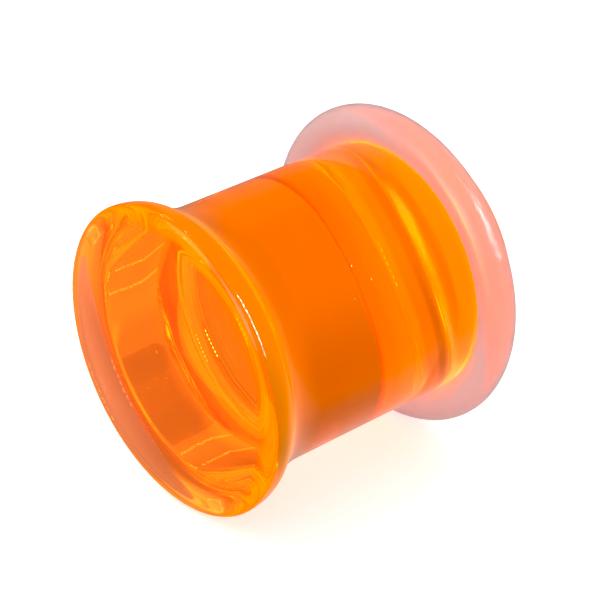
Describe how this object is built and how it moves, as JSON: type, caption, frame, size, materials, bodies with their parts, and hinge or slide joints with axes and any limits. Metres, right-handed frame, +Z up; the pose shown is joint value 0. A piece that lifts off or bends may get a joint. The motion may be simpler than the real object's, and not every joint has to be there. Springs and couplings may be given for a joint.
{
  "type": "flared ear plug",
  "caption": "Solid cylindrical ear plug with a flat-faced flare at one end and a soft O-ring near the other that holds it in a stretched ear lobe.",
  "frame": {"origin": "on the ground, in the middle of the bounding box's underside; the plug lies on its side as it rests by itself, on the rim of its flare and on its O-ring", "axes": "+Z up; the plug's axis lies in the YZ plane, from the flared front face at -Y to the plain back face at +Y, and rises 2.33 degrees towards the back"},
  "size_m": [0.0162, 0.0164, 0.0161],
  "materials": {
    "neon_acrylic": "polished transparent",
    "pink_silicone": "smooth translucent"
  },
  "bodies": {
    "root": {"flared_plug": "neon_acrylic", "o_ring": "pink_silicone"}
  },
  "joints": []
}
